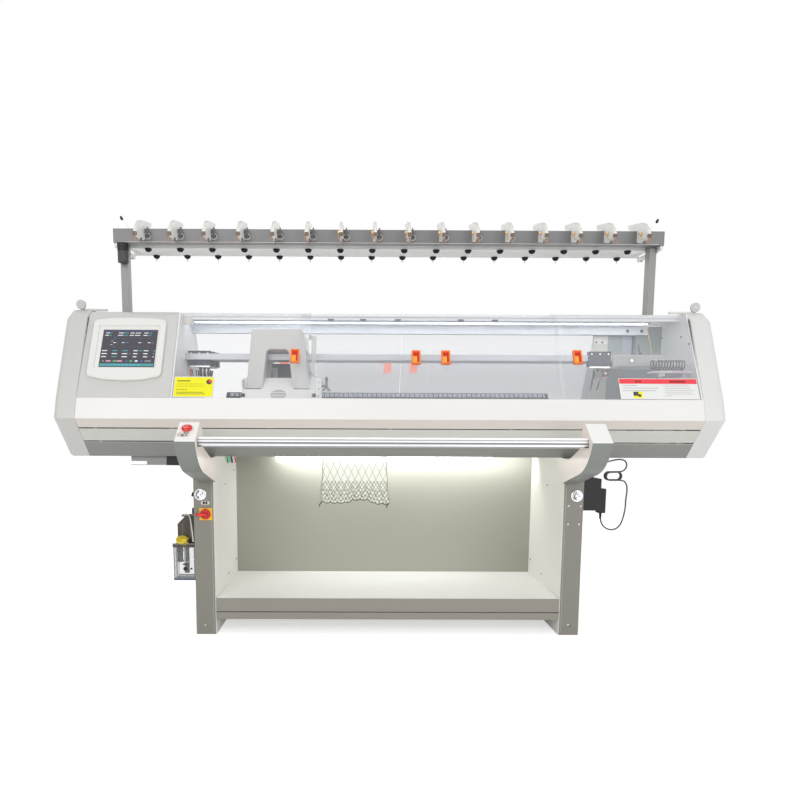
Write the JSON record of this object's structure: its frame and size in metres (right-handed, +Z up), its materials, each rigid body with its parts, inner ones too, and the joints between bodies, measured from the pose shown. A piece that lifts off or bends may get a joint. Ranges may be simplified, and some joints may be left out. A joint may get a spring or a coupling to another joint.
{
  "type": "flat knitting machine",
  "caption": "Long flat knitting machine on two legs: sliding clear covers over a carriage and needle beds, touch screen panel, start bar on two arms, yarn stand on top and a fabric bay below.",
  "frame": {"origin": "centre of the footprint on the floor, under the middle of the bounding box", "axes": "+X along the needle beds to the operator's right, +Y from the operator's side to the back, +Z up"},
  "size_m": [2.7, 0.89, 1.762],
  "materials": {
    "leg_paint": "satin",
    "bay_paint": "satin",
    "shelf_paint": "satin",
    "lamp_tube": "satin",
    "casting_paint": "satin",
    "needle_steel": "satin",
    "inner_paint": "satin",
    "rail_steel": "satin",
    "beam_paint": "satin",
    "body_paint": "satin",
    "apron_paint": "satin",
    "guide_plastic": "satin",
    "bezel_plastic": "satin",
    "screen_glass": "gloss",
    "clear_cover": "clear polycarbonate",
    "carriage_paint": "satin",
    "cam_cover_paint": "satin",
    "pulley_metal": "satin",
    "belt_rubber": "satin",
    "roller_rubber": "satin",
    "carrier_plastic": "satin",
    "arm_paint": "satin",
    "bar_aluminium": "satin",
    "stop_red": "satin",
    "switch_red": "satin",
    "latch_chrome": "polished",
    "stand_aluminium": "satin",
    "tension_plastic": "satin",
    "cone_rubber": "satin",
    "alarm_plastic": "satin",
    "tank_clear": "satin",
    "pump_plastic": "satin",
    "dark_metal": "satin",
    "power_plastic": "satin",
    "screw_steel": "satin",
    "cable_sheath": "satin",
    "coil_plastic": "satin",
    "cloth_yarn": "satin"
  },
  "bodies": {
    "machine": {"left_leg": "leg_paint", "right_leg": "leg_paint", "bay_side_panels": "bay_paint", "back_panel": "bay_paint", "fabric_shelf": "shelf_paint", "bay_lamp": "lamp_tube", "machine_bed": "casting_paint", "needle_beds": "needle_steel", "end_frames": "inner_paint", "carrier_rails": "rail_steel", "rail_stand": "beam_paint", "top_deck": "inner_paint", "front_band": "body_paint", "front_apron": "apron_paint", "rear_apron": "apron_paint", "left_end_cap": "body_paint", "right_end_cap": "body_paint", "control_panel": "body_paint", "screen_bezel": "bezel_plastic", "touch_screen": "screen_glass", "drive_belt": "belt_rubber", "bar_arms": "arm_paint", "yarn_stand": "stand_aluminium", "tension_units": "tension_plastic", "cone_pins": "cone_rubber", "alarm_lamp": "alarm_plastic", "oil_tank": "tank_clear", "oil_pump": "pump_plastic", "drive_box": "dark_metal", "power_box": "power_plastic", "panel_screws": "screw_steel", "cable_lead": "cable_sheath", "cable_hank": "cable_sheath", "guard_coil": "coil_plastic", "knitted_cloth": "cloth_yarn"},
    "left_wheel": {"left_guide_wheel": "guide_plastic"},
    "right_wheel": {"right_guide_wheel": "guide_plastic"},
    "cover_1": {"front_cover_1": "clear_cover"},
    "cover_2": {"front_cover_2": "clear_cover"},
    "cover_3": {"front_cover_3": "clear_cover"},
    "cover_4": {"front_cover_4": "clear_cover"},
    "back_cover_1": {"rear_cover_1": "clear_cover"},
    "back_cover_2": {"rear_cover_2": "clear_cover"},
    "back_cover_3": {"rear_cover_3": "clear_cover"},
    "back_cover_4": {"rear_cover_4": "clear_cover"},
    "carriage": {"carriage_bridge": "carriage_paint", "carriage_covers": "cam_cover_paint"},
    "pulley_left": {"drive_pulley": "pulley_metal"},
    "pulley_right": {"idler_pulley": "pulley_metal"},
    "roller_front": {"front_take_down_roller": "roller_rubber"},
    "roller_rear": {"rear_take_down_roller": "roller_rubber"},
    "carrier_1": {"yarn_carrier_1": "carrier_plastic"},
    "carrier_2": {"yarn_carrier_2": "carrier_plastic"},
    "carrier_3": {"yarn_carrier_3": "carrier_plastic"},
    "carrier_4": {"yarn_carrier_4": "carrier_plastic"},
    "bar": {"operating_bar": "bar_aluminium"},
    "stop_button": {"emergency_button": "stop_red"},
    "switch": {"switch_handle": "switch_red"},
    "latch_left": {"left_latch": "latch_chrome"},
    "latch_right": {"right_latch": "latch_chrome"}
  },
  "joints": [
    {"name": "front_cover_1_slide", "type": "slide", "parent": "machine", "child": "cover_1", "axis": [1, 0, 0], "range_m": [0, 0.4]},
    {"name": "front_cover_2_slide", "type": "slide", "parent": "machine", "child": "cover_2", "axis": [1, 0, 0], "range_m": [-0.4, 0]},
    {"name": "front_cover_3_slide", "type": "slide", "parent": "machine", "child": "cover_3", "axis": [1, 0, 0], "range_m": [0, 0.4]},
    {"name": "front_cover_4_slide", "type": "slide", "parent": "machine", "child": "cover_4", "axis": [1, 0, 0], "range_m": [-0.4, 0]},
    {"name": "rear_cover_1_slide", "type": "slide", "parent": "machine", "child": "back_cover_1", "axis": [1, 0, 0], "range_m": [0, 0.4]},
    {"name": "rear_cover_2_slide", "type": "slide", "parent": "machine", "child": "back_cover_2", "axis": [1, 0, 0], "range_m": [-0.4, 0]},
    {"name": "rear_cover_3_slide", "type": "slide", "parent": "machine", "child": "back_cover_3", "axis": [1, 0, 0], "range_m": [0, 0.25]},
    {"name": "rear_cover_4_slide", "type": "slide", "parent": "machine", "child": "back_cover_4", "axis": [1, 0, 0], "range_m": [-0.4, 0]},
    {"name": "carriage_slide", "type": "slide", "parent": "machine", "child": "carriage", "axis": [1, 0, 0], "range_m": [-0.25, 1.2]},
    {"name": "drive_pulley_turn", "type": "hinge", "parent": "machine", "child": "pulley_left", "pos_m": [-0.838, 0.251, 0.845], "axis": [0, 1, 0], "range_deg": [-400, 1850]},
    {"name": "idler_pulley_turn", "type": "hinge", "parent": "machine", "child": "pulley_right", "pos_m": [0.838, 0.251, 0.845], "axis": [0, 1, 0], "range_deg": [-400, 1850]},
    {"name": "yarn_carrier_1_slide", "type": "slide", "parent": "machine", "child": "carrier_1", "axis": [1, 0, 0], "range_m": [-1.6, 0]},
    {"name": "yarn_carrier_2_slide", "type": "slide", "parent": "machine", "child": "carrier_2", "axis": [1, 0, 0], "range_m": [0, 1.6]},
    {"name": "yarn_carrier_3_slide", "type": "slide", "parent": "machine", "child": "carrier_3", "axis": [1, 0, 0], "range_m": [0, 1.6]},
    {"name": "yarn_carrier_4_slide", "type": "slide", "parent": "machine", "child": "carrier_4", "axis": [1, 0, 0], "range_m": [0, 1.6]},
    {"name": "front_roller_turn", "type": "hinge", "parent": "machine", "child": "roller_front", "pos_m": [0, 0.103, 0.86], "axis": [1, 0, 0], "continuous": true},
    {"name": "rear_roller_turn", "type": "hinge", "parent": "machine", "child": "roller_rear", "pos_m": [0, 0.147, 0.86], "axis": [1, 0, 0], "continuous": true},
    {"name": "left_wheel_turn", "type": "hinge", "parent": "machine", "child": "left_wheel", "pos_m": [-1.31, 0.037, 1.396], "axis": [0, 1, 0], "continuous": true},
    {"name": "right_wheel_turn", "type": "hinge", "parent": "machine", "child": "right_wheel", "pos_m": [1.31, 0.037, 1.396], "axis": [0, 1, 0], "continuous": true},
    {"name": "operating_bar_turn", "type": "hinge", "parent": "machine", "child": "bar", "pos_m": [0, -0.391, 0.829], "axis": [1, 0, 0], "range_deg": [-12, 12], "stiffness_Nm_per_rad": 8},
    {"name": "emergency_button_press", "type": "slide", "parent": "machine", "child": "stop_button", "axis": [0, 0.619, -0.7854], "range_m": [0, 0.005], "stiffness_N_per_m": 1200},
    {"name": "switch_handle_turn", "type": "hinge", "parent": "machine", "child": "switch", "pos_m": [-0.766, -0.106, 0.519], "axis": [0, 1, 0], "range_deg": [-90, 0]},
    {"name": "left_latch_turn", "type": "hinge", "parent": "machine", "child": "latch_left", "pos_m": [-0.786, -0.106, 0.601], "axis": [0, 1, 0], "range_deg": [0, 90]},
    {"name": "right_latch_turn", "type": "hinge", "parent": "machine", "child": "latch_right", "pos_m": [0.786, -0.106, 0.601], "axis": [0, 1, 0], "range_deg": [0, 90]}
  ],
  "couplings": [
    {"joint": "drive_pulley_turn", "follows": "carriage_slide", "rad_per_m": 26.316},
    {"joint": "idler_pulley_turn", "follows": "carriage_slide", "rad_per_m": 26.316},
    {"joint": "rear_roller_turn", "follows": "front_roller_turn", "ratio": -1}
  ]
}
